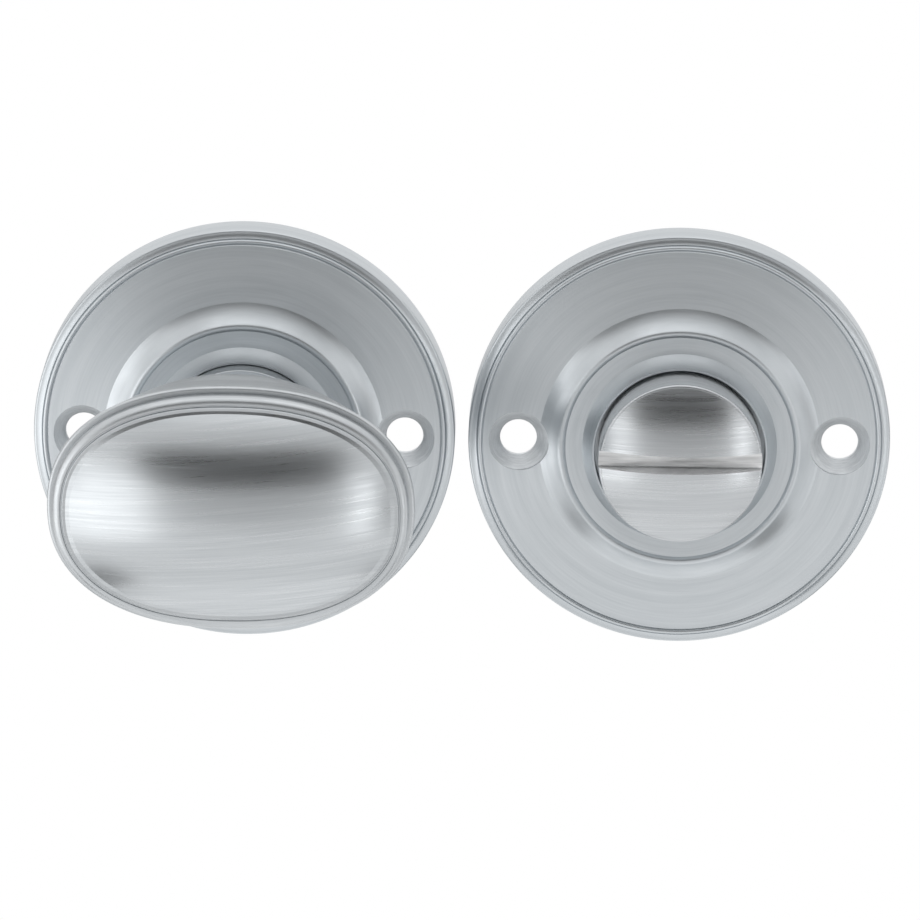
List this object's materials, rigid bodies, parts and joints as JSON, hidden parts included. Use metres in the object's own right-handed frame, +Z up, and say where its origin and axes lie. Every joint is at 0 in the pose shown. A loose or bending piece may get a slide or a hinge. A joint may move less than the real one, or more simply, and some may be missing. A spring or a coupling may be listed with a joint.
{
  "type": "bathroom thumb turn lock",
  "caption": "Bathroom thumb turn with an oval knob and its coin release, each on a round stepped rose with countersunk fixing holes.",
  "frame": {"origin": "middle of the turn rose's two fixing holes, in the plane of its back", "axes": "+Z up as fixed on a door, -Y out of the door towards the user, +X to the right along both pairs of fixing holes"},
  "size_m": [0.1021, 0.0937, 0.0502],
  "materials": {
    "rose_plate": "satin chrome plate, turned face",
    "knob_plate": "satin chrome plate, brushed lengthwise",
    "disc_plate": "satin chrome plate, brushed",
    "nylon": "natural nylon",
    "washer_steel": "zinc plated",
    "spring_steel": "dark phosphated spring steel",
    "spindle_steel": "zinc plated drawn bar"
  },
  "bodies": {
    "roses": {"turn_rose": "rose_plate", "turn_bush": "nylon", "turn_flat_washer": "washer_steel", "release_rose": "rose_plate", "release_bush": "nylon", "release_flat_washer": "washer_steel"},
    "turn": {"turn_knob": "knob_plate", "turn_spindle": "spindle_steel", "turn_spindle_pin": "washer_steel", "turn_circlip": "spring_steel", "turn_spring_washer": "spring_steel"},
    "release": {"release_disc": "disc_plate", "release_circlip": "spring_steel", "release_spring_washer": "spring_steel"}
  },
  "joints": [
    {"name": "turn_spin", "type": "hinge", "parent": "roses", "child": "turn", "pos_m": [0, 0, 0], "axis": [0, 1, 0], "range_deg": [-90, 90]},
    {"name": "release_spin", "type": "hinge", "parent": "roses", "child": "release", "pos_m": [0.05184, 0, 0], "axis": [0, 1, 0], "range_deg": [-90, 90]}
  ]
}
